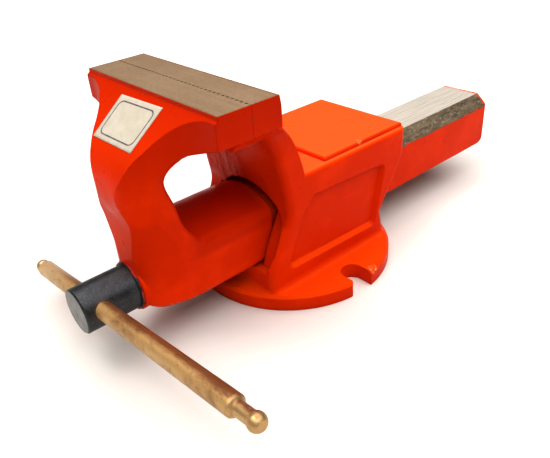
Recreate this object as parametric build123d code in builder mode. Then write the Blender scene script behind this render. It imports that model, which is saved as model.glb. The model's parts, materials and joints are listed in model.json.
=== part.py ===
from build123d import *
import math
import os

# Bench vise with a through guide and 140 mm jaws, shown closed.
# Millimetres, +Z up, +Y towards the rear. The origin is the centre of the round base flange, underneath it.

# ---- driving dimensions -------------------------------------------------------------------------------

JAW_WIDTH = 140.0
JAW_TOP = 162.0  # height of the ground jaw tops above the bench
SEAM_Y = -83.0  # where the two gripping faces meet
JAW_GAP = 0.2  # left between the closed gripping faces
FRONT_JAW_DEPTH = 22.0
REAR_JAW_DEPTH = 19.5
JAW_END_BOTTOM = 143.5  # underside of a jaw at its two ends
JAW_MID_BOTTOM = 128.5  # underside of a jaw over the throat

SPINDLE_Z = 41.0
SPINDLE_R = 11.0
RUNNING_FIT = 0.05  # radial clearance of a turning fit

GUIDE_HALF = 27.75
GUIDE_FLAT_HALF = 17.5  # machined top between the two chamfers
GUIDE_TOP = 72.8
GUIDE_SHOULDER = 63.8
GUIDE_BOTTOM = 28.8
GUIDE_REAR = 220.8
GUIDE_END_R = 9.0  # rounding under its rear end
GUIDE_CORNER = 2.5  # rounding of its upright rear corners
GUIDE_SLACK = 0.2  # between guide and tunnel, each side
CAST_CROWN = 76.3  # top of its crowned back
CAST_CROWN_EDGE = 67.5
CAST_END = -41.5  # where the unmachined part of the guide ends
CHANNEL_HALF = 17.0
CHANNEL_TOP = 61.0

ARM_FRONT = -142.5
ARM_HALF = 29.0
ARM_FOOT = 27.6  # underside of the arm, a little below the guide
THROAT_FRONT = -117.0
THROAT_TOP = 131.8
HEEL_Z = 61.5  # the throat starts here, low on the sides of the guide
THROAT_EDGE = 5.0  # rounding of its edges
ARM_EDGE = 5.0  # rounding of the lower edges of the arm and of the rough part of the guide
CROWN_EDGE = 9.0  # rounding beside the crowned back of the rough part
BOSS_FACE = -139.0
BOSS_R = 17.5
BOSS_WALL_REAR = -116.0
BOSS_BLEND = 33.0  # length over which the boss widens into the arm
BOSS_BLEND_R = 25.0

# The front of the arm in plan, as its height and half its outline, from the toe up to its full width.
NOSE_REAR = -97.0
NOSE_TOE = (
    ARM_FOOT - 1,
    ((4.5, -135), (10.5, -134), (13.5, -132.5), (16.5, -130.5), (20, -125.5), (23, -117), (25, -104)),
)
NOSE_SLIM_Z = (ARM_FOOT + 4.5, 68.0)
NOSE_SLIM = (
    (5, -139.4), (12, -138.5), (16, -136.9), (20, -133.6), (24.5, -127.5), (28, -118.5), (30.2, -104)
)
NOSE_MID = (
    80.0,
    (
        (5.8, -140.5), (12.8, -139.4), (17, -137.6), (21.1, -134.2), (25.5, -128.4), (28.9, -120),
        (30.5, -104),
    ),
)
NOSE_WIDE = (
    97.0,
    ((8, -143.5), (15, -141.8), (19.5, -139.3), (24, -135.5), (28, -130.5), (31, -124), (31.5, -104)),
)

BODY_HALF = 45.75
BODY_REAR = 79.0
LEDGE_Z = 92.2
PAD_Z = 95.2
PAD_HALF = 41.9
PAD_FRONT = -2.5
PANEL_DEPTH = 3.5
PANEL_TAPER = 40.0  # slope of its sides, degrees from square
PANEL_CORNER = 5.0
LEDGE_EDGE = 3.0  # rounding of the outer edge of the ledge
PAD_EDGE = 2.0
FRONT_CORNER = 5.0  # rounding of the upright corners of the neck and pedestal
REAR_CORNER = 4.0
BUTTRESS_Y = -25.0  # foot of the slope behind the rear jaw
MOUTH_R = 40.0  # arched mouth of the tunnel, cast a little off centre
MOUTH_X = 3.0
MOUTH_TOP = 81.0
MOUTH_REAR = -30.0
MOUTH_SINK = 5.5  # depth of the sunk face round the mouth
MOUTH_BOTTOM = 27.0
MOUTH_ROOM = 1.5  # between the rough part of the guide and the sides of the mouth

FLANGE_R = 75.8
FLANGE_T = 11.5
SLOT_WIDTH = 17.0
SLOT_INNER = 56.5
SLOT_LIP_FRONT = 3.0
SLOT_LIP_REAR = 2.0
FLANGE_EDGE = 2.0
FLANGE_BLEND = 5.0  # rounding between pedestal and flange
CORE_LENGTH = 92.0
CORE_WIDTH = 62.0
CORE_DEPTH = 9.0
CORE_CORNER = 10.0

PLATE_T = 8.0
PLATE_HEIGHT = 18.5
TOOTH_PITCH = 4.0
TOOTH_DEPTH = 0.9
JAW_SCREW_X = 45.0
JAW_SCREW_Z = 153.0
JAW_SCREW_R = 4.0
JAW_SCREW_HEAD_R = 7.0
JAW_SCREW_LENGTH = 16.0
JAW_SCREW_CONE = 3.2
JAW_SCREW_SOCKET_R = 2.9
JAW_SCREW_SOCKET = 3.0

HEAD_R = 15.2
HEAD_FRONT = -177.8
HEAD_CHAMFER = 1.0
WASHER_T = 2.0
WASHER_R = 16.5
BAR_Y = -165.6
BAR_TILT = 9.4  # degrees, end on +X up
BAR_R = 6.0
BAR_END_LEFT = -94.0
BAR_END_RIGHT = 167.0
BAR_NECK_R = 3.9
BAR_KNOB_R = 4.9
BAR_KNOB = 7.0
BAR_TIP_R = 2.6  # flat at the tip of a knob
BAR_SHOULDER_LEFT = 11.0  # from the tip to the full diameter
BAR_SHOULDER_RIGHT = 19.5

NUT_FRONT = -25.0
NUT_REAR = 38.0
NUT_HALF = 15.0
NUT_TOP = 57.0
NUT_POCKET_Z = 20.5
NUT_BOLT_Y = (-8.0, 21.0)
NUT_BOLT_R = 4.0
NUT_BOLT_HOLE_R = 4.25
COUNTERBORE_R = 8.5
NUT_BOLT_HEAD_R = 6.5
NUT_BOLT_HEAD = 4.0
NUT_BOLT_WASHER_R = 8.0
NUT_BOLT_WASHER_T = 1.6
DOWEL_Y = (-19.0, 32.0)
DOWEL_R = 3.0
DOWEL_DEPTH = 6.0  # into the nut and into the body
NUT_THREAD_Z = 29.0  # the bolts end just under the spindle

SPRING_R = 15.5
SPRING_T = 2.0
COLLAR_R = 15.5
COLLAR_LENGTH = 12.0
COLLAR_PIN_R = 2.5
SCREW_REAR = 206.0
SCREW_CHAMFER = 2.0
STOP_LENGTH = 12.0

# ---- worked out from these ------------------------------------------------------------------------------

FACE_Y = SEAM_Y - JAW_GAP / 2  # gripping face of the front plate; the rear plate is its mirror image
HEAD_REAR = BOSS_FACE - WASHER_T
SPRING_FRONT = BOSS_WALL_REAR + WASHER_T
COLLAR_FRONT = SPRING_FRONT + 2 * SPRING_T
STOP_FRONT = SCREW_REAR - STOP_LENGTH - 2
COLLAR_PIN_Y = COLLAR_FRONT + COLLAR_LENGTH / 2
STOP_PIN_Y = STOP_FRONT + STOP_LENGTH / 2
BAR_PLANE = Plane(
    origin=(0, BAR_Y, SPINDLE_Z),
    x_dir=(0, 1, 0),
    z_dir=(math.cos(math.radians(BAR_TILT)), 0, math.sin(math.radians(BAR_TILT))),
)
FROM_BELOW = (Align.CENTER, Align.MIN)  # a shape that stands on its place

os.makedirs("parts", exist_ok=True)


def write(node, name):
    """Label a finished piece and write it as its own STEP file."""
    node.part.label = name
    export_step(node.part, f"parts/{name}.step")


def screw_places():
    """Axes of the two screws of a jaw plate, in a sketch of the XZ plane."""
    return Locations((-JAW_SCREW_X, JAW_SCREW_Z), (JAW_SCREW_X, JAW_SCREW_Z))


def along_middle(places):
    """Places on the centre line of the vise, from their Y values."""
    return Locations(*[(0, y) for y in places])


def along_y(y):
    """Plane across the spindle at a given Y, with its centre on the spindle axis and facing the front."""
    return Plane(origin=(0, y, SPINDLE_Z), x_dir=(1, 0, 0), z_dir=(0, -1, 0))


# ---- movable jaw: jaw, arm round the throat, spindle boss and guide in one casting -----------------------


def on_throat(edge):
    """Whether an edge belongs to the throat, between the heel and the underside of the jaw."""
    return 28 < abs(edge.center().X) < 36 and edge.center().Z > HEEL_Z


def nose_section(z, points):
    """Plan of the front of the arm at a given height, from half its outline."""
    with BuildSketch(Plane.XY.offset(z), mode=Mode.PRIVATE) as section:
        with BuildLine():
            Line((0, points[0][1]), points[0])
            outline = Spline(*points, tangents=[(1, 0), (0.1, 1)])
            Polyline(outline @ 1, ((outline @ 1).X, NOSE_REAR), (0, NOSE_REAR))
            mirror(about=Plane.YZ)
        make_face()
    return section.sketch


with BuildPart() as movable_jaw:
    # Plan: the arm is narrow in front and flares into the full width of the jaw.
    with BuildSketch(Plane.XY.offset(ARM_FOOT)):
        with BuildLine():
            nose = Line((0, ARM_FRONT), (8, ARM_FRONT))
            round_off = TangentArc(nose @ 1, (21.5, -136.5), tangent=nose % 1)
            flank = Line(round_off @ 1, (29, -128))
            flare = ThreePointArc(flank @ 1, (40, -115.5), (JAW_WIDTH / 2, SEAM_Y - FRONT_JAW_DEPTH - 2))
            Polyline(flare @ 1, (JAW_WIDTH / 2, SEAM_Y), (0, SEAM_Y))
            mirror(about=Plane.YZ)
        make_face()
    extrude(amount=JAW_TOP - ARM_FOOT)

    # Front view: square jaw ends whose underside sweeps down into the arm.
    with BuildSketch(Plane.XZ.offset(-SEAM_Y)):
        with BuildLine():
            end = Polyline((0, JAW_TOP), (JAW_WIDTH / 2, JAW_TOP), (JAW_WIDTH / 2, JAW_END_BOTTOM))
            sweep_down = Spline(
                end @ 1, (54, 138.5), (40, 132.5), (32.5, 122), (ARM_HALF, 106),
                tangents=[(-1, -0.25), (0, -1)],
            )
            flank = Line(sweep_down @ 1, (ARM_HALF, ARM_FOOT + ARM_EDGE))
            belly = TangentArc(flank @ 1, (ARM_HALF - ARM_EDGE, ARM_FOOT), tangent=flank % 1)
            Line(belly @ 1, (0, ARM_FOOT))
            mirror(about=Plane.YZ)
        make_face()
    extrude(amount=JAW_WIDTH / 2, mode=Mode.INTERSECT)

    # Side view: sloping front, round throat, foot of the arm.
    with BuildSketch(Plane.YZ.offset(-JAW_WIDTH / 2)):
        with BuildLine():
            top = Polyline(
                (SEAM_Y, JAW_TOP),
                (SEAM_Y - FRONT_JAW_DEPTH, JAW_TOP),
                (SEAM_Y - FRONT_JAW_DEPTH, JAW_TOP - 2),
            )
            slope = Line(top @ 1, (-129, 137.5))
            brow = Spline(
                slope @ 1, (-139.5, 122.5), (ARM_FRONT + 0.2, 110), (-140.8, 97), (BOSS_FACE, 80),
                tangents=[slope % 1, (0, -1)],
            )
            shin = Line(brow @ 1, (BOSS_FACE, ARM_FOOT + ARM_EDGE))
            toe = TangentArc(shin @ 1, (BOSS_FACE + ARM_EDGE, ARM_FOOT), tangent=shin % 1)
            foot = Polyline(toe @ 1, (SEAM_Y, ARM_FOOT), (SEAM_Y, HEEL_Z))
            throat = Spline(
                foot @ 1, (-98, 69), (-108, 82), (-112, 98), (THROAT_FRONT, 116), (-115, 125),
                (-109, THROAT_TOP - 0.8), (-101, THROAT_TOP), tangents=[(-1, 0), (1, -0.1)],
            )
            Polyline(throat @ 1, (SEAM_Y, JAW_MID_BOTTOM), (SEAM_Y, JAW_TOP))
        make_face()
    extrude(amount=JAW_WIDTH, mode=Mode.INTERSECT)

    fillet(movable_jaw.edges().filter_by(GeomType.BSPLINE).filter_by(on_throat), radius=THROAT_EDGE)

    # Lower down the front of the arm draws in towards the boss, and its lower edges are rounded off.
    with BuildPart(mode=Mode.SUBTRACT):
        with BuildSketch(Plane.XY.offset(ARM_FOOT - 2)):
            with Locations((0, NOSE_REAR)):
                Rectangle(2 * ARM_HALF + 20, 50, align=(Align.CENTER, Align.MAX))
        extrude(amount=NOSE_WIDE[0] - ARM_FOOT + 2)
        slim_low, slim_high = (nose_section(z, NOSE_SLIM) for z in NOSE_SLIM_Z)
        loft([nose_section(*NOSE_TOE), slim_low], mode=Mode.SUBTRACT)
        extrude(slim_low, amount=NOSE_SLIM_Z[1] - NOSE_SLIM_Z[0], mode=Mode.SUBTRACT)
        loft([slim_high, nose_section(*NOSE_MID), nose_section(*NOSE_WIDE)], mode=Mode.SUBTRACT)

    # Guide: rough-cast under the throat, machined from there to the rear.
    with BuildSketch(Plane.XZ.offset(-CAST_END)) as rough:
        with BuildLine():
            back = ThreePointArc((-ARM_HALF, CAST_CROWN_EDGE), (0, CAST_CROWN), (ARM_HALF, CAST_CROWN_EDGE))
            Polyline(back @ 1, (ARM_HALF, ARM_FOOT), (-ARM_HALF, ARM_FOOT), back @ 0)
        make_face()
        fillet(rough.vertices().group_by(Axis.Y)[-1], radius=CROWN_EDGE)
        fillet(rough.vertices().group_by(Axis.Y)[0], radius=ARM_EDGE)
    extrude(amount=CAST_END + 106)
    with BuildSketch(Plane.XZ.offset(-GUIDE_REAR)) as guide_section:
        with BuildLine():
            Polyline(
                (0, GUIDE_TOP), (GUIDE_FLAT_HALF, GUIDE_TOP), (GUIDE_HALF, GUIDE_SHOULDER),
                (GUIDE_HALF, GUIDE_BOTTOM), (0, GUIDE_BOTTOM),
            )
            mirror(about=Plane.YZ)
        make_face()
    extrude(amount=GUIDE_REAR - CAST_END)
    rear_end = movable_jaw.edges().filter_by_position(Axis.Y, GUIDE_REAR - 0.1, GUIDE_REAR + 0.1)
    fillet(rear_end.filter_by(Axis.Z), radius=GUIDE_CORNER)
    with BuildSketch(Plane.YZ.offset(-GUIDE_HALF - 1)):
        with Locations((GUIDE_REAR - GUIDE_END_R, GUIDE_BOTTOM + GUIDE_END_R)):
            Rectangle(GUIDE_END_R + 1, GUIDE_END_R + 1, align=(Align.MIN, Align.MAX))
            Circle(GUIDE_END_R, mode=Mode.SUBTRACT)
    extrude(amount=2 * GUIDE_HALF + 2, mode=Mode.SUBTRACT)

    # Spindle boss, blended back into the foot of the arm.
    with BuildSketch(along_y(BOSS_FACE)):
        Circle(BOSS_R)
    with BuildSketch(along_y(BOSS_FACE + BOSS_BLEND)):
        with Locations((0, BOSS_BLEND_R / 2)):
            Circle(BOSS_BLEND_R)
    loft()

    # Channel for the nut, open below and at the rear, and the bore for the spindle.
    with BuildSketch(Plane.XZ.offset(-GUIDE_REAR)):
        with BuildLine():
            Polyline(
                (0, 0), (CHANNEL_HALF, 0), (CHANNEL_HALF, CHANNEL_TOP - 8), (9, CHANNEL_TOP),
                (0, CHANNEL_TOP),
            )
            mirror(about=Plane.YZ)
        make_face()
    extrude(amount=GUIDE_REAR - BOSS_WALL_REAR, mode=Mode.SUBTRACT)
    with BuildSketch(along_y(BOSS_FACE - 1)):
        Circle(SPINDLE_R + RUNNING_FIT)
    extrude(amount=-(BOSS_WALL_REAR - BOSS_FACE + 3), mode=Mode.SUBTRACT)

    # Seat of the jaw plate and its two tapped holes.
    with BuildSketch(Plane.YZ.offset(-JAW_WIDTH / 2)):
        with Locations((SEAM_Y, JAW_TOP)):
            Rectangle(PLATE_T + JAW_GAP / 2, PLATE_HEIGHT, align=(Align.MAX, Align.MAX))
    extrude(amount=JAW_WIDTH, mode=Mode.SUBTRACT)
    with BuildSketch(Plane.XZ.offset(-SEAM_Y)):
        with screw_places():
            Circle(JAW_SCREW_R)
    extrude(amount=JAW_SCREW_LENGTH + 1, mode=Mode.SUBTRACT)
write(movable_jaw, "movable_jaw")

# ---- fixed body: base flange, pedestal, anvil, neck and rear jaw in one casting --------------------------


def is_level(box, z):
    """Whether an edge with this box lies in the plane at this height."""
    return abs(box.min.Z - z) < 0.05 and abs(box.max.Z - z) < 0.05


def is_upright(edge, top=LEDGE_Z):
    """Whether an edge is one of the steep outer corners of the pedestal and neck."""
    middle = edge.center()
    return abs(abs(middle.X) - BODY_HALF) < 0.3 and 5 < middle.Z < top and edge.bounding_box().size.Z > 3


with BuildPart() as fixed_body:
    # Side view, as one thick slab.
    with BuildSketch(Plane.YZ.offset(-JAW_WIDTH / 2)):
        with BuildLine():
            back_of_jaw = Polyline(
                (SEAM_Y, JAW_TOP), (SEAM_Y + REAR_JAW_DEPTH, JAW_TOP), (SEAM_Y + REAR_JAW_DEPTH + 2, 151)
            )
            buttress = Spline(
                back_of_jaw @ 1, (-53, 139.5), (-37, 124), (-29, 107), (BUTTRESS_Y, LEDGE_Z),
                tangents=[(0.35, -1), (0.2, -1)],
            )
            tail = Polyline(
                buttress @ 1, (BODY_REAR, LEDGE_Z), (BODY_REAR, 71), (54, 31), (58, FLANGE_T),
                (58, FLANGE_T / 2), (-59, FLANGE_T / 2), (-59, 30), (-53, 43), (-42.5, 58),
            )
            neck_front = Spline(
                tail @ 1, (-39.5, 66), (-40.4, 78), (-42.6, 92), (-46.5, 108), (-51.5, 121),
                tangents=[(0.5, 1), (-0.5, 1)],
            )
            crotch = TangentArc(neck_front @ 1, (-57.5, JAW_MID_BOTTOM + 1), tangent=neck_front % 1)
            Polyline(crotch @ 1, (SEAM_Y, JAW_MID_BOTTOM), (SEAM_Y, JAW_TOP))
        make_face()
    extrude(amount=JAW_WIDTH)

    # Front view: the jaw ends sweep down into a neck as wide as the pedestal.
    with BuildSketch(Plane.XZ.offset(-BODY_REAR)):
        with BuildLine():
            end = Polyline((0, JAW_TOP), (JAW_WIDTH / 2, JAW_TOP), (JAW_WIDTH / 2, JAW_END_BOTTOM))
            sweep_down = Spline(
                end @ 1, (60, 138.5), (50, 131), (BODY_HALF, 118), tangents=[(-1, -0.25), (0, -1)]
            )
            Polyline(sweep_down @ 1, (BODY_HALF, 0), (0, 0))
            mirror(about=Plane.YZ)
        make_face()
    extrude(amount=BODY_REAR - SEAM_Y, mode=Mode.INTERSECT)

    # Plan: behind the square jaw the sides sweep in to the width of the pedestal.
    with BuildSketch():
        with BuildLine():
            jaw_rear = SEAM_Y + REAR_JAW_DEPTH + 1
            jaw_end = Polyline((0, SEAM_Y), (JAW_WIDTH / 2, SEAM_Y), (JAW_WIDTH / 2, jaw_rear))
            sweep_in = ThreePointArc(jaw_end @ 1, (56, -53.5), (BODY_HALF, -38))
            Polyline(sweep_in @ 1, (BODY_HALF, BODY_REAR), (0, BODY_REAR))
            mirror(about=Plane.YZ)
        make_face()
    extrude(amount=JAW_TOP, mode=Mode.INTERSECT)

    front_corners = fixed_body.edges().filter_by_position(Axis.Y, -60, -38.5)
    fillet(front_corners.filter_by(lambda e: is_upright(e, 118)), radius=FRONT_CORNER)
    rear_corners = fixed_body.edges().filter_by_position(Axis.Y, 50, BODY_REAR)
    fillet(rear_corners.filter_by(is_upright), radius=REAR_CORNER)

    # Raised pad of the anvil.
    with BuildSketch(Plane.XY.offset(LEDGE_Z - 1)):
        with Locations((0, PAD_FRONT)):
            Rectangle(2 * PAD_HALF, BODY_REAR - PAD_FRONT, align=FROM_BELOW)
    extrude(amount=PAD_Z - LEDGE_Z + 1)
    fillet(fixed_body.edges().filter_by_position(Axis.Z, PAD_Z - 0.1, PAD_Z + 0.1), radius=PAD_EDGE)
    # The ledges beside it have rounded edges too.
    with BuildSketch(Plane.XZ.offset(-BODY_REAR - 1)):
        with Locations((BODY_HALF - LEDGE_EDGE, LEDGE_Z - LEDGE_EDGE)):
            Rectangle(LEDGE_EDGE + 1, LEDGE_EDGE + 1, align=Align.MIN)
            Circle(LEDGE_EDGE, mode=Mode.SUBTRACT)
        mirror(about=Plane.YZ)
    extrude(amount=BODY_REAR + 1 - BUTTRESS_Y, mode=Mode.SUBTRACT)

    # Sunk panels with sloping sides on both sides of the pedestal.
    with BuildSketch(Plane.YZ.offset(-BODY_HALF)) as panel:
        with BuildLine():
            FilletPolyline(
                (58, 71), (46, 22), (-45, 24.5), (-26, 66), (-16, 74.5), radius=PANEL_CORNER, close=True
            )
        make_face()
    other_side = panel.sketch.moved(Location((2 * BODY_HALF, 0, 0)))
    extrude(amount=PANEL_DEPTH, taper=PANEL_TAPER, mode=Mode.SUBTRACT)
    extrude(other_side, amount=-PANEL_DEPTH, taper=PANEL_TAPER, mode=Mode.SUBTRACT)

    # Base flange with two open slots for the bolts that hold the vise down.
    with BuildSketch():
        Circle(FLANGE_R)
    extrude(amount=FLANGE_T)
    at_top = fixed_body.edges().filter_by(lambda e: is_level(e.bounding_box(), FLANGE_T))
    chamfer(at_top.filter_by(GeomType.CIRCLE).sort_by(SortBy.RADIUS)[-1], length=FLANGE_EDGE)
    at_top = fixed_body.edges().filter_by(lambda e: is_level(e.bounding_box(), FLANGE_T))
    fillet(at_top.filter_by(lambda e: e.bounding_box().max.Y < 60 and e.length < 200), radius=FLANGE_BLEND)
    with BuildSketch():
        with Locations((-FLANGE_R, 0), (FLANGE_R, 0)):
            SlotOverall(2 * (FLANGE_R - SLOT_INNER), SLOT_WIDTH)
    extrude(amount=FLANGE_T, mode=Mode.SUBTRACT)

    # The lips of the slots are rounded, the front ones more.
    with BuildSketch():
        Rectangle(3 * FLANGE_R, 3 * FLANGE_R)
        with BuildSketch(mode=Mode.SUBTRACT) as plan:
            Circle(FLANGE_R)
            with Locations((-FLANGE_R, 0), (FLANGE_R, 0)):
                SlotOverall(2 * (FLANGE_R - SLOT_INNER), SLOT_WIDTH, mode=Mode.SUBTRACT)
            lips = plan.vertices().filter_by(lambda v: abs(v.X) > FLANGE_R - 3)
            fillet(lips.filter_by(lambda v: v.Y < 0), radius=SLOT_LIP_FRONT)
            fillet(lips.filter_by(lambda v: v.Y > 0), radius=SLOT_LIP_REAR)
    extrude(amount=FLANGE_T, mode=Mode.SUBTRACT)

    # Cored underside.
    with BuildSketch():
        RectangleRounded(CORE_WIDTH, CORE_LENGTH, CORE_CORNER)
    extrude(amount=CORE_DEPTH, mode=Mode.SUBTRACT)

    # Tunnel for the guide, with a wider arched mouth.
    with BuildSketch(Plane.XZ.offset(-BODY_REAR)):
        with BuildLine():
            Polyline(
                (0, GUIDE_TOP + GUIDE_SLACK), (GUIDE_FLAT_HALF + 0.1, GUIDE_TOP + GUIDE_SLACK),
                (GUIDE_HALF + GUIDE_SLACK, GUIDE_SHOULDER + 0.15), (GUIDE_HALF + GUIDE_SLACK, GUIDE_BOTTOM),
                (0, GUIDE_BOTTOM),
            )
            mirror(about=Plane.YZ)
        make_face()
    extrude(amount=BODY_REAR - SEAM_Y, mode=Mode.SUBTRACT)
    with BuildSketch(Plane.XZ.offset(-MOUTH_REAR)):
        with Locations((MOUTH_X, MOUTH_TOP - MOUTH_R)):
            Circle(MOUTH_R)
        with Locations((0, GUIDE_SHOULDER + 2)):
            Rectangle(3 * MOUTH_R, MOUTH_R, align=FROM_BELOW, mode=Mode.INTERSECT)
        with Locations((0, MOUTH_BOTTOM)):
            Rectangle(2 * ARM_HALF + MOUTH_ROOM, GUIDE_TOP - MOUTH_BOTTOM - 4, align=FROM_BELOW)
    extrude(amount=MOUTH_REAR - SEAM_Y - 20, mode=Mode.SUBTRACT)
    # Below the arch the face round the mouth is sunk a little.
    with BuildPart(mode=Mode.SUBTRACT):
        with BuildSketch(Plane.YZ.offset(-BODY_HALF)):
            with BuildLine():
                Polyline(
                    (-70, MOUTH_BOTTOM), (-59 + MOUTH_SINK, MOUTH_BOTTOM), (-53 + MOUTH_SINK, 43),
                    (-41 + MOUTH_SINK, 66), (-41 + MOUTH_SINK, MOUTH_TOP), (-70, MOUTH_TOP), close=True,
                )
            make_face()
        extrude(amount=2 * BODY_HALF)
        with BuildSketch(Plane.XZ.offset(-MOUTH_REAR)):
            with Locations((MOUTH_X, MOUTH_TOP - MOUTH_R)):
                Circle(MOUTH_R)
                Rectangle(3 * MOUTH_R, MOUTH_R, align=FROM_BELOW, mode=Mode.INTERSECT)
            with Locations((MOUTH_X, MOUTH_BOTTOM)):
                Trapezoid(2 * MOUTH_R, MOUTH_TOP - MOUTH_R - MOUTH_BOTTOM, 100, align=FROM_BELOW)
        extrude(amount=MOUTH_REAR - SEAM_Y, mode=Mode.INTERSECT)

    # Pocket for the foot of the nut, with its bolt and dowel holes.
    with BuildSketch(Plane.XY.offset(NUT_POCKET_Z)):
        with Locations((0, NUT_FRONT)):
            Rectangle(2 * NUT_HALF, NUT_REAR - NUT_FRONT, align=FROM_BELOW)
    extrude(amount=GUIDE_BOTTOM - NUT_POCKET_Z + 1, mode=Mode.SUBTRACT)
    with BuildSketch():
        with along_middle(NUT_BOLT_Y):
            Circle(NUT_BOLT_HOLE_R)
    extrude(amount=NUT_POCKET_Z, mode=Mode.SUBTRACT)
    with BuildSketch(Plane.XY.offset(CORE_DEPTH)):
        with along_middle(NUT_BOLT_Y):
            Circle(COUNTERBORE_R)
    extrude(amount=NUT_BOLT_HEAD + NUT_BOLT_WASHER_T, mode=Mode.SUBTRACT)
    with BuildSketch(Plane.XY.offset(NUT_POCKET_Z - DOWEL_DEPTH)):
        with along_middle(DOWEL_Y):
            Circle(DOWEL_R)
    extrude(amount=DOWEL_DEPTH, mode=Mode.SUBTRACT)

    # Groove in the floor, which the end stop of the screw runs into when the jaws are wide open.
    with BuildSketch(along_y(BODY_REAR)):
        Circle(COLLAR_R + 1)
        Rectangle(2 * COLLAR_R + 2, COLLAR_R, align=FROM_BELOW)
    extrude(amount=BODY_REAR - NUT_REAR, mode=Mode.SUBTRACT)

    # Seat of the jaw plate and its two tapped holes.
    with BuildSketch(Plane.YZ.offset(-JAW_WIDTH / 2)):
        with Locations((SEAM_Y, JAW_TOP)):
            Rectangle(PLATE_T + JAW_GAP / 2, PLATE_HEIGHT, align=(Align.MIN, Align.MAX))
    extrude(amount=JAW_WIDTH, mode=Mode.SUBTRACT)
    with BuildSketch(Plane.XZ.offset(-SEAM_Y)):
        with screw_places():
            Circle(JAW_SCREW_R)
    extrude(amount=-(JAW_SCREW_LENGTH + 1), mode=Mode.SUBTRACT)
write(fixed_body, "fixed_body")

# ---- jaw plates with serrated faces, and their screws ---------------------------------------------------

with BuildPart() as front_jaw_plate:
    with BuildSketch(Plane.YZ.offset(-JAW_WIDTH / 2)):
        with Locations((FACE_Y, JAW_TOP)):
            Rectangle(PLATE_T, PLATE_HEIGHT, align=(Align.MAX, Align.MAX))
    extrude(amount=JAW_WIDTH)
    # Upright V grooves, open at the top, make the teeth.
    teeth = int(JAW_WIDTH / TOOTH_PITCH) - 1
    with BuildSketch(Plane.XY.offset(JAW_TOP - PLATE_HEIGHT)):
        with GridLocations(TOOTH_PITCH, 1, teeth, 1):
            with Locations((0, FACE_Y)):
                Polygon((-TOOTH_DEPTH, 0), (TOOTH_DEPTH, 0), (0, -TOOTH_DEPTH), align=None)
    extrude(amount=PLATE_HEIGHT, mode=Mode.SUBTRACT)
    with BuildSketch(Plane.XZ.offset(-FACE_Y)):
        with screw_places():
            Circle(JAW_SCREW_R)
    extrude(amount=PLATE_T, mode=Mode.SUBTRACT)
    with BuildSketch(Plane.XZ.offset(-FACE_Y)):
        with screw_places():
            Circle(JAW_SCREW_HEAD_R)
    extrude(amount=JAW_SCREW_CONE, taper=45, mode=Mode.SUBTRACT)
write(front_jaw_plate, "front_jaw_plate")

with BuildPart() as front_jaw_screws:
    with BuildSketch(Plane.XZ.offset(-FACE_Y)):
        with screw_places():
            Circle(JAW_SCREW_HEAD_R)
    extrude(amount=JAW_SCREW_CONE, taper=45)
    with BuildSketch(Plane.XZ.offset(-FACE_Y)):
        with screw_places():
            Circle(JAW_SCREW_R)
    extrude(amount=JAW_SCREW_LENGTH)
    with BuildSketch(Plane.XZ.offset(-FACE_Y)):
        with screw_places():
            RegularPolygon(JAW_SCREW_SOCKET_R, 6)
    extrude(amount=JAW_SCREW_SOCKET, mode=Mode.SUBTRACT)
write(front_jaw_screws, "front_jaw_screws")

with BuildPart() as rear_jaw_plate:
    mirror(front_jaw_plate.part, about=Plane.XZ.offset(-SEAM_Y))
write(rear_jaw_plate, "rear_jaw_plate")

with BuildPart() as rear_jaw_screws:
    mirror(front_jaw_screws.part, about=Plane.XZ.offset(-SEAM_Y))
write(rear_jaw_screws, "rear_jaw_screws")

# ---- spindle with its head, and what holds it in the arm ------------------------------------------------

with BuildPart() as spindle:
    with BuildSketch(along_y(SCREW_REAR)):
        Circle(SPINDLE_R)
    extrude(amount=SCREW_REAR - HEAD_REAR)
    chamfer(spindle.edges().filter_by(GeomType.CIRCLE).sort_by(Axis.Y)[-1], length=SCREW_CHAMFER)
    with BuildSketch(along_y(HEAD_REAR)):
        Circle(HEAD_R)
    extrude(amount=HEAD_REAR - HEAD_FRONT)
    chamfer(spindle.edges().filter_by(GeomType.CIRCLE).sort_by(Axis.Y)[0], length=HEAD_CHAMFER)
    with BuildSketch(BAR_PLANE):
        Circle(BAR_R + RUNNING_FIT)
    extrude(amount=2 * HEAD_R, both=True, mode=Mode.SUBTRACT)
    for pin_y in (COLLAR_PIN_Y, STOP_PIN_Y):
        with BuildSketch(Plane.XY.offset(SPINDLE_Z)):
            with Locations((0, pin_y)):
                Circle(COLLAR_PIN_R)
        extrude(amount=COLLAR_R, both=True, mode=Mode.SUBTRACT)
write(spindle, "spindle")


def ring(front, length, outer):
    """Flat ring on the spindle, from its front face towards the rear."""
    with BuildPart() as part:
        with BuildSketch(along_y(front)):
            Circle(outer)
            Circle(SPINDLE_R, mode=Mode.SUBTRACT)
        extrude(amount=-length)
    return part


def collar(front, length):
    """Collar on the spindle with an upright hole for its cross pin."""
    with BuildPart() as part:
        with BuildSketch(along_y(front)):
            Circle(COLLAR_R)
        extrude(amount=-length)
        with BuildSketch(along_y(front)):
            Circle(SPINDLE_R)
        extrude(amount=-length, mode=Mode.SUBTRACT)
        with BuildSketch(Plane.XY.offset(SPINDLE_Z)):
            with Locations((0, front + length / 2)):
                Circle(COLLAR_PIN_R)
        extrude(amount=COLLAR_R + 1, both=True, mode=Mode.SUBTRACT)
    return part


def cross_pin(y):
    """Pin driven through a collar and the spindle."""
    with BuildPart() as part:
        with BuildSketch(Plane.XY.offset(SPINDLE_Z)):
            with Locations((0, y)):
                Circle(COLLAR_PIN_R)
        extrude(amount=COLLAR_R - 0.5, both=True)
    return part


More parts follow.
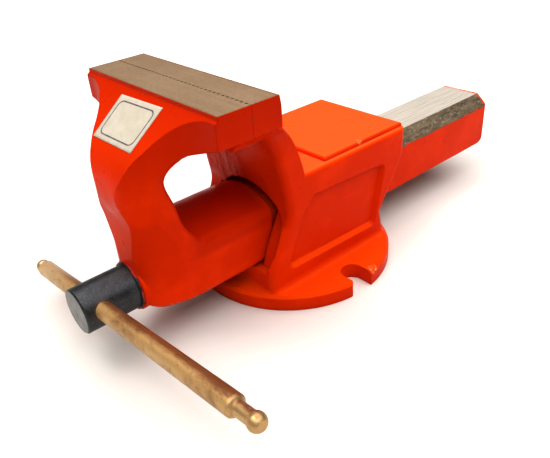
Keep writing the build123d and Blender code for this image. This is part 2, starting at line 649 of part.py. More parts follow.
write(ring(HEAD_REAR, WASHER_T, WASHER_R), "thrust_washer")
write(ring(BOSS_WALL_REAR, WASHER_T, COLLAR_R), "backing_washer")
write(collar(COLLAR_FRONT, COLLAR_LENGTH), "retaining_collar")
write(cross_pin(COLLAR_PIN_Y), "retaining_pin")
write(collar(STOP_FRONT, STOP_LENGTH), "end_stop_collar")
write(cross_pin(STOP_PIN_Y), "end_stop_pin")

# Two coned disc springs, back to back, take up the play of the spindle.
with BuildPart() as disc_springs:
    for front, lean in ((SPRING_FRONT, 1), (SPRING_FRONT + 2 * SPRING_T, -1)):
        with BuildSketch(Plane.YZ):
            with BuildLine():
                Polyline(
                    (front, SPINDLE_Z + SPINDLE_R),
                    (front + lean * 1.2, SPINDLE_Z + SPINDLE_R),
                    (front + lean * SPRING_T, SPINDLE_Z + SPRING_R),
                    (front + lean * 0.8, SPINDLE_Z + SPRING_R),
                    close=True,
                )
            make_face()
        revolve(axis=Axis((0, 0, SPINDLE_Z), (0, 1, 0)))
write(disc_springs, "disc_springs")

# ---- tommy bar ------------------------------------------------------------------------------------------

with BuildPart() as tommy_bar:
    with BuildSketch(Plane.XZ):
        with BuildLine():
            shaft = Line(
                (BAR_END_LEFT + BAR_SHOULDER_LEFT, BAR_R), (BAR_END_RIGHT - BAR_SHOULDER_RIGHT, BAR_R)
            )
            for start, tip, inward in ((shaft @ 0, BAR_END_LEFT, 1), (shaft @ 1, BAR_END_RIGHT, -1)):
                knob = tip + inward * BAR_KNOB
                shoulder = (start.X - inward * 1.2, BAR_R - 0.8)
                Polyline(start, shoulder, (start.X - inward * 2, BAR_NECK_R), (knob, BAR_NECK_R))
                knob_middle = (tip + inward * BAR_KNOB / 2, BAR_KNOB_R)
                ThreePointArc((knob, BAR_NECK_R), knob_middle, (tip, BAR_TIP_R))
                Line((tip, BAR_TIP_R), (tip, 0))
            Line((BAR_END_LEFT, 0), (BAR_END_RIGHT, 0))
        make_face()
    revolve(axis=Axis.X)
tommy_bar.part = tommy_bar.part.rotate(Axis.Y, -BAR_TILT).translate((0, BAR_Y, SPINDLE_Z))
write(tommy_bar, "tommy_bar")

# ---- nut with its bolts, washers and dowels -------------------------------------------------------------

with BuildPart() as spindle_nut:
    with BuildSketch(along_y(NUT_REAR)):
        with BuildLine():
            low, high = NUT_POCKET_Z - SPINDLE_Z, NUT_TOP - SPINDLE_Z
            crown = ThreePointArc((NUT_HALF, 2), (0, high), (-NUT_HALF, 2))
            Polyline(crown @ 1, (-NUT_HALF, low), (NUT_HALF, low), crown @ 0)
        make_face()
        Circle(SPINDLE_R + RUNNING_FIT, mode=Mode.SUBTRACT)
    extrude(amount=NUT_REAR - NUT_FRONT)
    with BuildSketch(Plane.XY.offset(NUT_POCKET_Z)):
        with along_middle(NUT_BOLT_Y):
            Circle(NUT_BOLT_R)
    extrude(amount=NUT_THREAD_Z - NUT_POCKET_Z, mode=Mode.SUBTRACT)
    with BuildSketch(Plane.XY.offset(NUT_POCKET_Z)):
        with along_middle(DOWEL_Y):
            Circle(DOWEL_R)
    extrude(amount=DOWEL_DEPTH, mode=Mode.SUBTRACT)
write(spindle_nut, "spindle_nut")

with BuildPart() as nut_bolts:
    with BuildSketch(Plane.XY.offset(CORE_DEPTH)):
        with along_middle(NUT_BOLT_Y):
            RegularPolygon(NUT_BOLT_HEAD_R, 6, major_radius=False)
    extrude(amount=NUT_BOLT_HEAD)
    with BuildSketch(Plane.XY.offset(CORE_DEPTH + NUT_BOLT_HEAD)):
        with along_middle(NUT_BOLT_Y):
            Circle(NUT_BOLT_R)
    extrude(amount=NUT_THREAD_Z - CORE_DEPTH - NUT_BOLT_HEAD)
write(nut_bolts, "nut_bolts")

with BuildPart() as nut_bolt_washers:
    with BuildSketch(Plane.XY.offset(CORE_DEPTH + NUT_BOLT_HEAD)):
        with along_middle(NUT_BOLT_Y):
            Circle(NUT_BOLT_WASHER_R)
            Circle(NUT_BOLT_R, mode=Mode.SUBTRACT)
    extrude(amount=NUT_BOLT_WASHER_T)
write(nut_bolt_washers, "nut_bolt_washers")

with BuildPart() as nut_dowels:
    with BuildSketch(Plane.XY.offset(NUT_POCKET_Z - DOWEL_DEPTH)):
        with along_middle(DOWEL_Y):
            Circle(DOWEL_R)
    extrude(amount=2 * DOWEL_DEPTH)
write(nut_dowels, "nut_dowels")
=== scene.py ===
import math

import bmesh
import bpy
from mathutils import Matrix, Vector
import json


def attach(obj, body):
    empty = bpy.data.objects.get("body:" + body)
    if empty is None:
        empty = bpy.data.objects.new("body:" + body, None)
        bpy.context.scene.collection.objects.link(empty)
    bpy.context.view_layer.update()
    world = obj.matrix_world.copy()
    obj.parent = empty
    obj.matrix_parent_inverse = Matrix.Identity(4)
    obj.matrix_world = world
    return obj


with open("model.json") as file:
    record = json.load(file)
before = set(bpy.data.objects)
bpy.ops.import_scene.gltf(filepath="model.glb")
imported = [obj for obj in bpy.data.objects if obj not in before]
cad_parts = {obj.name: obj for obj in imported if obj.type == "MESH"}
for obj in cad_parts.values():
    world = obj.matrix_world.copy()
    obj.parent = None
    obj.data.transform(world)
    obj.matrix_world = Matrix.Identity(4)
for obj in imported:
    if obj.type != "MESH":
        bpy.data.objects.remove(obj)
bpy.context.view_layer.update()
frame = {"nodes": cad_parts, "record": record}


# ---- places on the vise, in metres and in the frame of part.py --------------------------------------

JAW_HALF_WIDTH = 0.070
TOPS_MIDDLE_Y, TOPS_HALF_DEPTH = -0.08425, 0.02075  # the ground tops of the two closed jaws together
TOPS_Z = (0.1612, 0.1615)  # just under the tops
PLATES_Y, PLATES_Z = (-0.0955, -0.0705), (0.1415, 0.1425)  # where the jaw plates are let into the jaws
UNDER_JAWS_Y, UNDER_JAWS_Z = (-0.100, -0.050), (0.060, 0.078)  # top of the guide in the throat, where the jaws' shadow is painted
BARE_GUIDE_Y = (-0.030, 0.2185)  # from inside the tunnel to just short of the rear end
GUIDE_TOP_Z, CHAMFER_Z = (0.0724, 0.0732), (0.0636, 0.0732)
GREASE_AND_SHADE_Y = (0.0, -0.036)  # grease and painted shade in the gap, fading in towards the mouth of the tunnel
UNDRESSED_Z, UNDRESSED_Y = (0.078, 0.124), (-0.062, -0.036)  # rear wall of the throat
UNDRESSED_X = (0.012, -0.010)  # fades in towards its far side
SLOT_LIP_CHIP = (0.0735, 0.0130, 0.0108)
PAD_EDGE_CHIP = (0.0415, 0.0330, 0.0948)
SPINDLE_Z, SCREW_PITCH = 0.041, 0.006
HEAD_FACE_Y = (-0.1772, -0.1776)
HEAD_RUB = (0.013, -0.1656, 0.043)  # beside the cross hole, where the bar rubs
THREAD_Y = (-0.100, -0.095)  # the thread starts here
WASHER_FRONT_Y = (-0.1402, -0.1399)
BAR_ENDS_X = ((0.1450, 0.1465), (-0.0815, -0.0830))  # necks and knobs begin here


# ---- material helpers -------------------------------------------------------------------------------

NOISE_LOW, NOISE_HIGH = 0.3, 0.7  # most of a noise texture lies between these


class Nodes:
    """A material being put together: shader socket values and the few kinds of node used here."""

    def __init__(self, name):
        self.mat = bpy.data.materials.new(name)
        self.mat.use_nodes = True
        self.tree = self.mat.node_tree
        self.bsdf = self.tree.nodes["Principled BSDF"]
        self.coord = self.new("ShaderNodeTexCoord")
        self.place = self.coord.outputs["Object"]
        self.facing = self.coord.outputs["Normal"]
        self.geometry = self.new("ShaderNodeNewGeometry")

    def new(self, kind, **settings):
        node = self.tree.nodes.new(kind)
        for key, value in settings.items():
            setattr(node, key, value)
        return node

    def put(self, value, socket):
        if isinstance(value, bpy.types.NodeSocket):
            self.tree.links.new(value, socket)
        else:
            socket.default_value = value

    def set(self, **values):
        """Sets inputs of the shader, named with underscores for spaces."""
        for key, value in values.items():
            self.put(value, self.bsdf.inputs[key.replace("_", " ")])

    def math(self, operation, a, b=0.0):
        node = self.new("ShaderNodeMath", operation=operation)
        self.put(a, node.inputs[0])
        self.put(b, node.inputs[1])
        return node.outputs[0]

    def times(self, first, *others):
        for other in others:
            first = self.math("MULTIPLY", first, other)
        return first

    def plus(self, a, b):
        return self.math("ADD", a, b)

    def minus(self, a, b):
        return self.math("SUBTRACT", a, b)

    def larger(self, a, b):
        return self.math("MAXIMUM", a, b)

    def size(self, a):
        return self.math("ABSOLUTE", a)

    def invert(self, mask):
        return self.minus(1.0, mask)

    def step(self, value, low, high):
        """0 below low, 1 above high, smooth between."""
        node = self.new("ShaderNodeMapRange", interpolation_type="SMOOTHSTEP")
        self.put(value, node.inputs["Value"])
        node.inputs["From Min"].default_value = low
        node.inputs["From Max"].default_value = high
        return node.outputs[0]

    def between(self, value, low, high, soft):
        """1 from low to high, 0 outside, with soft ends."""
        return self.times(self.step(value, low - soft, low), self.invert(self.step(value, high, high + soft)))

    def near(self, centre, low, high):
        """1 within low of a point, 0 beyond high."""
        node = self.new("ShaderNodeVectorMath", operation="DISTANCE")
        self.put(self.place, node.inputs[0])
        node.inputs[1].default_value = centre
        return self.invert(self.step(node.outputs["Value"], low, high))

    def range(self, value, low, high, to_low, to_high):
        node = self.new("ShaderNodeMapRange")
        self.put(value, node.inputs["Value"])
        node.inputs["From Min"].default_value = low
        node.inputs["From Max"].default_value = high
        node.inputs["To Min"].default_value = to_low
        node.inputs["To Max"].default_value = to_high
        return node.outputs[0]

    def spread(self, noise, to_low=0, to_high=1):
        """Noise stretched over the whole of another range."""
        return self.range(noise, NOISE_LOW, NOISE_HIGH, to_low, to_high)

    def xyz(self, vector):
        node = self.new("ShaderNodeSeparateXYZ")
        self.put(vector, node.inputs[0])
        return node.outputs

    def scaled(self, scale):
        node = self.new("ShaderNodeMapping")
        self.put(self.place, node.inputs["Vector"])
        node.inputs["Scale"].default_value = scale
        return node.outputs[0]

    def noise(self, scale, detail=2.0, roughness=0.5, stretch=(1, 1, 1)):
        node = self.new("ShaderNodeTexNoise")
        self.put(self.scaled(stretch), node.inputs["Vector"])
        node.inputs["Scale"].default_value = scale
        node.inputs["Detail"].default_value = detail
        node.inputs["Roughness"].default_value = roughness
        return node.outputs["Fac"]

    def mix(self, factor, a, b):
        """Colour a where the factor is 0 and b where it is 1."""
        node = self.new("ShaderNodeMix", data_type="RGBA")
        self.put(factor, node.inputs[0])
        self.put((*a, 1) if isinstance(a, tuple) else a, node.inputs[6])
        self.put((*b, 1) if isinstance(b, tuple) else b, node.inputs[7])
        return node.outputs[2]

    def blend(self, factor, a, b):
        """The same for numbers."""
        node = self.new("ShaderNodeMix", data_type="FLOAT")
        self.put(factor, node.inputs[0])
        self.put(a, node.inputs[2])
        self.put(b, node.inputs[3])
        return node.outputs[0]

    def blend_normals(self, factor, a, b):
        """The same for normals."""
        node = self.new("ShaderNodeMix", data_type="VECTOR")
        self.put(factor, node.inputs[0])
        self.put(a, node.inputs[4])
        self.put(b, node.inputs[5])
        return node.outputs[1]

    def bump(self, height, distance, strength=1.0, normal=None):
        node = self.new("ShaderNodeBump")
        node.inputs["Distance"].default_value = distance
        node.inputs["Strength"].default_value = strength
        self.put(height, node.inputs["Height"])
        if normal is not None:
            self.put(normal, node.inputs["Normal"])
        return node.outputs[0]

    def soft_edges(self, radius):
        node = self.new("ShaderNodeBevel", samples=6)
        node.inputs["Radius"].default_value = radius
        return node.outputs[0]

    def openness(self, distance):
        """Low in hollows narrower than the distance."""
        node = self.new("ShaderNodeAmbientOcclusion", samples=4)
        node.inputs["Distance"].default_value = distance
        return node.outputs["AO"]


# ---- enamel and ground steel ------------------------------------------------------------------------

PAINT = (0.70, 0.039, 0.0006)
PAINT_THIN = (0.62, 0.030, 0.0004)
PAINT_LIT_UPPER = (0.72, 0.064, 0.002)  # painted light: faces that look up are lighter and more orange
PAINT_LIT_TOP = (0.74, 0.090, 0.016)  # painted light, most of all on the anvil
PAINT_SHADE = (0.42, 0.015, 0.0003)  # painted shade, high up and under the jaws
PAINT_CREVICE_SHADE = (0.30, 0.010, 0.002)
PRIMER = (0.62, 0.36, 0.16)

TARNISH_DARK, TARNISH_PALE = (0.25, 0.168, 0.099), (0.325, 0.23, 0.144)
BRUSHED_LINE, STEEL_SPECK, OUTLINE_DIRT = (0.415, 0.32, 0.225), (0.17, 0.125, 0.085), (0.060, 0.036, 0.022)
MILLED_DARK, MILLED_PALE, GREASE_AND_SHADE = (0.425, 0.385, 0.33), (0.505, 0.46, 0.405), (0.10, 0.085, 0.07)
SCALE_DARK, SCALE_PALE, SCALE_GLINT = (0.075, 0.058, 0.040), (0.190, 0.150, 0.102), (0.46, 0.41, 0.34)


def enamel(m, rough_cast=None, chips=()):
    """Colour, normal and roughness of glossy enamel brushed over sand-cast iron, with light and shade painted
    into the colour.
    """
    _, y, z = m.xyz(m.place)
    nx, _, nz = m.xyz(m.facing)
    thickness = m.step(m.noise(30, 3, 0.6), 0.38, 0.66)
    colour = m.mix(thickness, PAINT_THIN, PAINT)
    # Painted shade: faces high up, such as the jaw ends and the arm's top, and the guide's top in the throat
    # under the jaws are painted darker.
    high = m.times(m.step(z, 0.095, 0.165), m.invert(m.step(nz, 0.72, 0.95)))
    jaw_shadow = m.times(m.between(y, *UNDER_JAWS_Y, 0.012), m.between(z, *UNDER_JAWS_Z, 0.006))
    # Painted light: faces that look up get a lighter, more orange paint, most of all on the anvil, but not in
    # the shadow under the jaws.
    lit_top = m.times(m.step(nz, 0.25, 0.95), m.invert(jaw_shadow))
    lit_anvil = m.times(m.step(z, 0.05, 0.09), m.step(nz, 0.75, 0.95))
    colour = m.mix(lit_top, colour, m.mix(lit_anvil, PAINT_LIT_UPPER, PAINT_LIT_TOP))
    # Mixes in the painted shade, stronger high up than under the jaws.
    painted_shade = m.larger(m.times(high, 0.8), m.times(jaw_shadow, 0.55))
    colour = m.mix(painted_shade, colour, PAINT_SHADE)
    # Painted shade: hollows and crevices are painted darker.
    crevice_shade = m.range(m.openness(0.009), 0.15, 0.70, 0.70, 0.0)
    colour = m.mix(crevice_shade, colour, PAINT_CREVICE_SHADE)

    # The ends of the jaw plates are flush with the castings, so no edge is softened there.
    flush = m.times(m.step(m.size(nx), 0.95, 0.99), m.between(y, *PLATES_Y, 0.0005), m.step(z, *PLATES_Z))
    normal = m.blend_normals(flush, m.soft_edges(0.0013), m.geometry.outputs["Normal"])
    normal = m.bump(m.noise(38), 0.0010, 0.5, normal)
    normal = m.bump(m.noise(420), 0.00010, 0.35, normal)
    if rough_cast is not None:
        lumps = m.times(m.noise(230, 4, 0.65), rough_cast)
        normal = m.bump(lumps, 0.0016, 0.9, normal)
        runs = m.times(m.noise(150, stretch=(1, 1, 0.12)), rough_cast)
        normal = m.bump(runs, 0.0022, 0.8, normal)
    for place in chips:
        spot = m.times(place, m.step(m.noise(520, 3, 0.7), 0.50, 0.56))
        colour = m.mix(spot, colour, PRIMER)
    return colour, normal, m.spread(m.noise(90), 0.26, 0.40)


def ground_steel(m, inside):
    """Ground top of the jaws: brushed along the jaw, tarnished in patches, dirty along its outline."""
    lines = m.noise(170, 4, 0.65, (0.10, 9, 1))
    stain = m.noise(26, 4, 0.65)
    specks = m.noise(620, 3, 0.7)
    colour = m.mix(m.range(stain, 0.32, 0.68, 0, 1), TARNISH_DARK, TARNISH_PALE)
    colour = m.mix(m.spread(lines, 0, 0.55), colour, BRUSHED_LINE)
    colour = m.mix(m.range(specks, 0.35, 0.65, 0.35, 0), colour, STEEL_SPECK)
    dirty = m.times(m.invert(m.step(inside, 0.0004, 0.0012)), 0.65)
    colour = m.mix(dirty, colour, OUTLINE_DIRT)
    return colour, m.bump(lines, 0.00008, 0.5), 0.42


def bare_or_painted(m, bare, paint, steel_look, metallic=0.45):
    """Joins the enamel and the bare metal on one node, 1 in bare for the metal."""
    m.set(Base_Color=m.mix(bare, paint[0], steel_look[0]))
    m.set(Metallic=m.times(bare, metallic))
    m.set(Roughness=m.blend(bare, paint[2], steel_look[2]))
    m.set(Normal=m.blend_normals(bare, paint[1], steel_look[1]))
    m.set(Specular_IOR_Level=0.06, Specular_Tint=(1.0, 0.3, 0.08, 1.0))
    return m.mat


def ragged_edge(m):
    return m.spread(m.noise(420, 3, 0.7), -0.0004, 0.0004)


def on_steel(m, inside):
    """1 from just inside the painted outline of the ground steel."""
    return m.step(inside, 0.0001, 0.0003)


def jaw_top(m, ragged):
    """Distance in from the painted outline of the closed jaws' ground top, and 1 on the top itself."""
    x, y, z = m.xyz(m.place)
    _, _, nz = m.xyz(m.facing)
    from_side = m.minus(JAW_HALF_WIDTH, m.size(x))
    from_front = m.minus(TOPS_HALF_DEPTH, m.size(m.minus(y, TOPS_MIDDLE_Y)))
    inside = m.plus(m.math("MINIMUM", from_side, from_front), ragged)
    on_top = m.times(m.step(nz, 0.95, 0.99), m.step(z, *TOPS_Z))
    return inside, m.times(on_top, on_steel(m, inside))


# ---- looks of the castings and jaw plates -----------------------------------------------------------


def moving_casting():
    """Enamel with a ground jaw top, a milled guide top and mottled chamfers along the guide."""
    m = Nodes("painted_casting_jaw")
    _, y, z = m.xyz(m.place)
    nx, _, nz = m.xyz(m.facing)
    ragged = ragged_edge(m)
    paint = enamel(m)
    inside, bare = jaw_top(m, ragged)
    colour, normal, rough = ground_steel(m, inside)

    along = m.between(m.plus(y, m.times(ragged, 6)), *BARE_GUIDE_Y, 0.0008)
    flat = m.times(m.step(nz, 0.95, 0.99), m.between(z, *GUIDE_TOP_Z, 0.0003), along)
    lines = m.noise(260, 3, 0.6, (4, 0.10, 1))
    milled = m.mix(m.spread(lines), MILLED_DARK, MILLED_PALE)
    # Grease near the mouth of the tunnel, painted darker also as shade in the gap where the guide goes in.
    greased_and_shaded = m.step(m.plus(y, m.spread(lines, -0.012, 0.012)), *GREASE_AND_SHADE_Y)
    milled = m.mix(greased_and_shaded, milled, GREASE_AND_SHADE)

    low = m.plus(z, m.times(ragged, 3))
    slope = m.times(m.step(m.size(nx), 0.35, 0.45), m.between(low, *CHAMFER_Z, 0.0005), along)
    mottle = m.plus(m.noise(420, 4, 0.65, (1, 0.5, 1)), m.noise(330, 3, 0.6, (1, 0.08, 1)))
    scale = m.mix(m.range(mottle, 0.80, 1.20, 0, 1), SCALE_DARK, SCALE_PALE)
    glint = m.times(m.step(m.noise(700, 2, 0.6, (1, 0.5, 1)), 0.60, 0.72), 0.5)
    scale = m.mix(glint, scale, SCALE_GLINT)

    colour = m.mix(slope, m.mix(flat, colour, milled), scale)
    rough = m.blend(slope, m.blend(flat, rough, m.spread(lines, 0.22, 0.36)), 0.45)
    guide = m.larger(flat, slope)
    metallic = m.blend(guide, 0.45, 0.2)
    return bare_or_painted(m, m.larger(bare, guide), paint, (colour, normal, rough), metallic)


def fixed_casting():
    """Enamel, rougher in the throat where the casting wasn't dressed, with a ground jaw top."""
    m = Nodes("painted_casting_body")
    x, y, z = m.xyz(m.place)
    _, ny, _ = m.xyz(m.facing)
    undressed = m.times(
        m.step(m.times(ny, -1.0), 0.5, 0.9),
        m.between(z, *UNDRESSED_Z, 0.008),
        m.between(y, *UNDRESSED_Y, 0.002),
        m.step(x, *UNDRESSED_X),
    )
    chips = (m.near(SLOT_LIP_CHIP, 0.0012, 0.0052), m.near(PAD_EDGE_CHIP, 0.0006, 0.0030))
    inside, bare = jaw_top(m, ragged_edge(m))
    return bare_or_painted(m, bare, enamel(m, undressed, chips), ground_steel(m, inside))


def plate_steel():
    """Jaw plates: ground like the jaw tops, their two ends painted over."""
    m = Nodes("jaw_plate_steel")
    x, _, _ = m.xyz(m.place)
    nx, _, _ = m.xyz(m.facing)
    inside = m.plus(m.minus(JAW_HALF_WIDTH, m.size(x)), ragged_edge(m))
    bare = m.times(m.invert(m.step(m.size(nx), 0.9, 0.97)), on_steel(m, inside))
    return bare_or_painted(m, bare, enamel(m), ground_steel(m, inside))


# ---- looks of the spindle, bar and small parts ------------------------------------------------------

OXIDE_DARK, OXIDE_PALE, OXIDE_WORN = (0.024, 0.026, 0.030), (0.062, 0.064, 0.068), (0.115, 0.115, 0.110)
FACE_DARK, FACE_PALE, RUBBED = (0.115, 0.118, 0.115), (0.24, 0.238, 0.23), (0.26, 0.12, 0.04)
THREAD_ROOT, THREAD_CREST = (0.020, 0.017, 0.014), (0.30, 0.29, 0.27)
WASHER_OXIDE, WASHER_PAINT = (0.028, 0.028, 0.030), (0.34, 0.012, 0.0006)
COPPER_DARK, COPPER_PALE, COPPER_STAIN_AND_SHADE = (0.290, 0.150, 0.056), (0.49, 0.305, 0.128), (0.14, 0.042, 0.011)
COPPER_FAR, COPPER_SPECK, COPPER_END = (0.64, 0.46, 0.27), (0.09, 0.045, 0.018), (0.46, 0.32, 0.17)


def steel(name, base, rough, metallic=1.0, scale=300):
    """Plain, slightly uneven steel or iron."""
    m = Nodes(name)
    grain = m.noise(scale, 3, 0.6)
    m.set(Base_Color=m.mix(m.spread(grain), tuple(c * 0.75 for c in base), base))
    m.set(Roughness=m.spread(m.noise(scale / 4), rough * 0.85, rough * 1.2))
    m.set(Metallic=metallic)
    m.set(Normal=m.bump(grain, 0.00005, 0.6))
    return m.mat


def washer_oxide():
    """Black washer whose rim has caught some of the paint of the boss."""
    m = Nodes("washer_black")
    _, y, _ = m.xyz(m.place)
    blotch = m.noise(260, 3, 0.6)
    smear = m.step(m.plus(y, m.spread(blotch, -0.0013, 0.0010)), *WASHER_FRONT_Y)
    m.set(Base_Color=m.mix(smear, WASHER_OXIDE, WASHER_PAINT))
    m.set(Metallic=m.times(m.invert(smear), 0.6))
    m.set(Roughness=m.spread(blotch, 0.34, 0.5))
    m.set(Normal=m.bump(blotch, 0.0002, 0.6))
    return m.mat


def black_oxide():
    """Spindle: black oxide head with a paler turned face, and the turns of the thread on the screw."""
    m = Nodes("spindle_black")
    x, y, z = m.xyz(m.place)
    _, ny, _ = m.xyz(m.facing)
    blotch = m.noise(80, 4, 0.65)
    fine = m.noise(900, 3, 0.6)
    tone = m.mix(m.spread(blotch), OXIDE_DARK, OXIDE_PALE)
    worn = m.times(m.step(fine, 0.52, 0.68), m.range(blotch, 0.4, 0.7, 0.2, 0.8))
    tone = m.mix(worn, tone, OXIDE_WORN)
    front = m.times(m.step(m.times(ny, -1.0), 0.9, 0.97), m.step(y, *HEAD_FACE_Y))
    swirl = m.noise(300, 3, 0.6, (1, 1, 0.4))
    face = m.mix(m.spread(swirl), FACE_DARK, FACE_PALE)
    rub = m.times(m.near(HEAD_RUB, 0.004, 0.009), fine)
    tone = m.mix(m.times(rub, 0.9), tone, RUBBED)

    # Along the screw and round it, the phase goes from 0 to 1 once for each pitch.
    turn = m.math("DIVIDE", m.math("ARCTAN2", m.minus(z, SPINDLE_Z), x), 2 * math.pi)
    phase = m.math("FRACT", m.plus(m.math("DIVIDE", y, SCREW_PITCH), turn))
    crest = m.step(m.size(m.minus(phase, 0.5)), 0.17, 0.33)
    threaded = m.step(y, *THREAD_Y)
    tone = m.mix(threaded, tone, m.mix(crest, THREAD_ROOT, THREAD_CREST))
    m.set(Base_Color=m.mix(front, tone, face))
    m.set(Metallic=0.6)
    m.set(Roughness=m.spread(blotch, 0.33, 0.50))
    normal = m.bump(m.times(crest, threaded), 0.0022)
    m.set(Normal=m.bump(fine, 0.00008, 0.5, normal))
    return m.mat


def coppered():
    """Tommy bar: copper-coloured turned steel, darker on top with stain and painted shade, paler at the far
    end.
    """
    m = Nodes("bar_coppered")
    x, _, _ = m.xyz(m.place)
    _, ny, nz = m.xyz(m.facing)
    stain = m.noise(70, 5, 0.7, (0.45, 1, 1))
    fine = m.noise(330, 4, 0.65)
    tone = m.mix(m.step(stain, 0.34, 0.56), COPPER_DARK, COPPER_PALE)
    # Painted shade with some stain: the side of the bar that faces up and back is painted darker.
    stain_and_shade_side = m.plus(m.times(nz, 0.75), m.times(ny, 0.65))
    stain_and_shade_side = m.plus(stain_and_shade_side, m.spread(stain, 0.25, -0.25))
    tone = m.mix(m.times(m.step(stain_and_shade_side, 0.25, 0.80), 0.85), tone, COPPER_STAIN_AND_SHADE)
    tone = m.mix(m.times(m.step(x, -0.02, -0.07), 0.65), tone, COPPER_FAR)
    tone = m.mix(m.times(m.step(fine, 0.60, 0.72), 0.55), tone, COPPER_SPECK)
    # The necks and knobs at the two ends are cleaner and brighter.
    right, left = BAR_ENDS_X
    end = m.larger(m.step(x, *right), m.step(x, *left))
    tone = m.mix(m.times(end, m.range(fine, 0.35, 0.6, 0.1, 0.5)), tone, COPPER_END)
    m.set(Base_Color=tone, Metallic=m.blend(end, 0.35, 0.6))
    m.set(Roughness=m.blend(end, m.spread(stain, 0.52, 0.36), m.range(fine, 0.35, 0.65, 0.30, 0.44)))
    m.set(Normal=m.bump(fine, 0.00010, 0.6))
    return m.mat


LOOKS = {
    "movable_jaw": moving_casting(),
    "fixed_body": fixed_casting(),
    "spindle": black_oxide(),
    "tommy_bar": coppered(),
    "thrust_washer": washer_oxide(),
}
SLOTS = {
    "jaw_plate_steel": plate_steel(),
    "screw_black": steel("screw_black", (0.045, 0.045, 0.048), 0.4),
    "washer_black": steel("washer_plain", (0.05, 0.05, 0.05), 0.42),
    "spring_steel": steel("spring_steel", (0.3, 0.3, 0.31), 0.3),
    "collar_steel": steel("collar_steel", (0.5, 0.49, 0.47), 0.3),
    "nut_iron": steel("nut_iron", (0.2, 0.2, 0.195), 0.5, 0.8, 160),
    "bolt_steel": steel("bolt_steel", (0.35, 0.35, 0.36), 0.35),
}
slot_of = {row["node"]: row["material_slot"] for row in frame["record"]["subparts"]}
for node, obj in frame["nodes"].items():
    look = LOOKS.get(node) or SLOTS[slot_of[node]]
    for slot in obj.material_slots:
        slot.material = look


def add_mesh(name, shape):
    """An object in the scene from a finished bmesh."""
    mesh = bpy.data.meshes.new(name)
    shape.to_mesh(mesh)
    obj = bpy.data.objects.new(name, mesh)
    bpy.context.scene.collection.objects.link(obj)
    return obj


# ---- label on the front of the jaw ------------------------------------------------------------------

UPPER_LEFT, UPPER_RIGHT = Vector((-0.0205, -0.1092, 0.1560)), Vector((0.0238, -0.1080, 0.1572))
LOWER_LEFT, LOWER_RIGHT = Vector((-0.0247, -0.1310, 0.1355)), Vector((0.0188, -0.1303, 0.1361))
OUTWARD = Vector((0, -22.5, 24.0)).normalized()  # square to the slope that carries the label
COLUMNS, ROWS = 22, 30
RAY_START, RAY_LENGTH = 0.02, 0.05
PAPER_LIFT, PAPER_THICKNESS = 0.00012, 0.00010
PAPER_DARK, PAPER_PALE, INK = (0.46, 0.405, 0.325), (0.53, 0.475, 0.395), (0.045, 0.055, 0.075)
LABEL_MM = (44.0, 30.3)
FRAME_FLAT_MM = (14.4, 7.6)  # half of the straight stretch of the printed frame, each way
FRAME_RADIUS_MM = 4.0


def label_shape(jaw):
    """A grid of faces laid on the jaw by rays, with its own coordinates from 0 to 1 each way."""
    shape = bmesh.new()
    uv_layer = shape.loops.layers.uv.new("flat")
    grid = []
    for row in range(ROWS + 1):
        line = []
        for column in range(COLUMNS + 1):
            u, v = column / COLUMNS, row / ROWS
            start = UPPER_LEFT.lerp(UPPER_RIGHT, u).lerp(LOWER_LEFT.lerp(LOWER_RIGHT, u), v)
            start = start + RAY_START * OUTWARD
            _, place, normal, _ = jaw.ray_cast(start, -OUTWARD, distance=RAY_LENGTH)
            line.append((shape.verts.new(place + PAPER_LIFT * normal), (u, v)))
        grid.append(line)
    for row in range(ROWS):
        for column in range(COLUMNS):
            below, above = grid[row + 1], grid[row]
            corners = [below[column], below[column + 1], above[column + 1], above[column]]
            face = shape.faces.new([vertex for vertex, _ in corners])
            face.smooth = True
            for loop, (_, uv) in zip(face.loops, corners):
                loop[uv_layer].uv = uv
    return shape


def label_paper():
    """Cream paper with nothing on it but a thin rounded frame."""
    m = Nodes("label_paper")
    u, v, _ = m.xyz(m.coord.outputs["UV"])

    def past_flat(along, length, flat):
        """How far past the frame's straight stretch, in millimetres, and 0 beside it."""
        from_middle = m.size(m.times(m.minus(along, 0.5), length))
        return m.larger(m.minus(from_middle, flat), 0.0)

    corner_u = past_flat(u, LABEL_MM[0], FRAME_FLAT_MM[0])
    corner_v = past_flat(v, LABEL_MM[1], FRAME_FLAT_MM[1])
    corner = m.math("SQRT", m.plus(m.math("POWER", corner_u, 2.0), m.math("POWER", corner_v, 2.0)))
    off_frame = m.size(m.minus(corner, FRAME_RADIUS_MM))
    printed = m.times(m.invert(m.step(off_frame, 0.32, 0.55)), m.range(m.noise(500), 0.3, 0.6, 0.7, 1.0))
    paper = m.mix(m.spread(m.noise(160, 3, 0.6)), PAPER_DARK, PAPER_PALE)
    m.set(Base_Color=m.mix(printed, paper, INK), Roughness=0.6, Specular_IOR_Level=0.3)
    m.set(Normal=m.bump(m.noise(900), 0.00003, 0.5))
    return m.mat


label = add_mesh("label", label_shape(frame["nodes"]["movable_jaw"]))
thickness = label.modifiers.new("thickness", "SOLIDIFY")
thickness.thickness = PAPER_THICKNESS
thickness.offset = 1.0
label.data.materials.append(label_paper())
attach(label, "jaw")

# ---- camera -----------------------------------------------------------------------------------------

CAMERA = Vector((0.30275, -0.26472, 0.26755))
YAW, PITCH, ROLL = (math.radians(a) for a in (52.29, 31.15, -5.15))
PHOTO_WIDTH_PX, FOCAL_PX = 550, 598.97
SHIFT_X_PX, SHIFT_Y_PX = 15.57, -2.6  # the fitted lens axis is this far off the photo's middle
SENSOR_MM = 36

forward = Vector((-math.sin(YAW) * math.cos(PITCH), math.cos(YAW) * math.cos(PITCH), -math.sin(PITCH)))
level = Vector((math.cos(YAW), math.sin(YAW), 0))
above = level.cross(forward)
right = math.cos(ROLL) * level + math.sin(ROLL) * above
up = -math.sin(ROLL) * level + math.cos(ROLL) * above

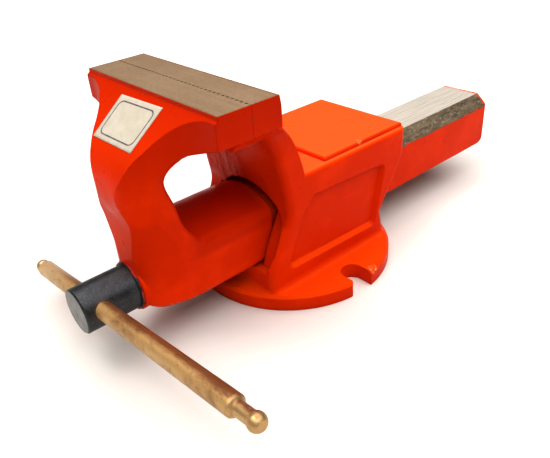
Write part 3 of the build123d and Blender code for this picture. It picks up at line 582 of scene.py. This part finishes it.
data = bpy.data.cameras.new("camera")
data.sensor_width = SENSOR_MM
data.lens = SENSOR_MM * FOCAL_PX / PHOTO_WIDTH_PX
data.shift_x = SHIFT_X_PX / PHOTO_WIDTH_PX
data.shift_y = SHIFT_Y_PX / PHOTO_WIDTH_PX
data.clip_start = 0.01
camera = bpy.data.objects.new("camera", data)
camera.matrix_world = Matrix.Translation(CAMERA) @ Matrix((right, up, -forward)).transposed().to_4x4()
bpy.context.scene.collection.objects.link(camera)
bpy.context.scene.camera = camera

# ---- floor ------------------------------------------------------------------------------------------

FLOOR_RADIUS, FLOOR_SEGMENTS = 1.6, 96
FLOOR_DROP = 0.0002  # keeps it clear of the flange's underside
FADE_FROM, FADE_TO = 0.3, 1.5
FLOOR_NEAR, FLOOR_FAR = (0.66, 0.635, 0.60), (0.95, 0.95, 0.95)

shape = bmesh.new()
bmesh.ops.create_circle(shape, cap_ends=True, radius=FLOOR_RADIUS, segments=FLOOR_SEGMENTS)
floor = add_mesh("floor", shape)
floor.location.z = -FLOOR_DROP
pale = Nodes("floor_pale")
reach = pale.new("ShaderNodeVectorMath", operation="LENGTH")
pale.put(pale.place, reach.inputs[0])
shade = pale.mix(pale.step(reach.outputs["Value"], FADE_FROM, FADE_TO), FLOOR_NEAR, FLOOR_FAR)
pale.set(Base_Color=shade, Roughness=0.9, Specular_IOR_Level=0.1)
floor.data.materials.append(pale.mat)

# ---- light ------------------------------------------------------------------------------------------


def background(node, colour, strength):
    node.inputs["Color"].default_value = (*colour, 1)
    node.inputs["Strength"].default_value = strength
    return node.outputs[0]


world = bpy.data.worlds.new("studio")
world.use_nodes = True
tree = world.node_tree
either = tree.nodes.new("ShaderNodeMixShader")
seen = tree.nodes.new("ShaderNodeLightPath")
tree.links.new(seen.outputs["Is Camera Ray"], either.inputs[0])
# A warm, weak light on the vise, and a white backdrop where the camera looks past the floor.
tree.links.new(background(tree.nodes["Background"], (1, 0.90, 0.80), 0.10), either.inputs[1])
tree.links.new(background(tree.nodes.new("ShaderNodeBackground"), (1, 1, 1), 1.2), either.inputs[2])
tree.links.new(either.outputs[0], tree.nodes["World Output"].inputs[0])
bpy.context.scene.world = world


def softbox(name, place, target, size, power):
    light = bpy.data.lights.new(name, "AREA")
    light.shape = "RECTANGLE"
    light.size, light.size_y = size
    light.energy = power
    obj = bpy.data.objects.new(name, light)
    obj.location = place
    obj.rotation_euler = (Vector(target) - Vector(place)).to_track_quat("-Z", "Y").to_euler()
    bpy.context.scene.collection.objects.link(obj)


softbox("key", place=(-0.5, -0.7, 1.9), target=(0, -0.05, 0.08), size=(0.7, 0.7), power=10)
softbox("top", place=(0.2, 0.3, 2.4), target=(0.0, 0.3, 0), size=(5.0, 5.0), power=262)
bpy.context.scene.view_settings.view_transform = "Standard"
bpy.context.scene.view_settings.gamma = 0.8
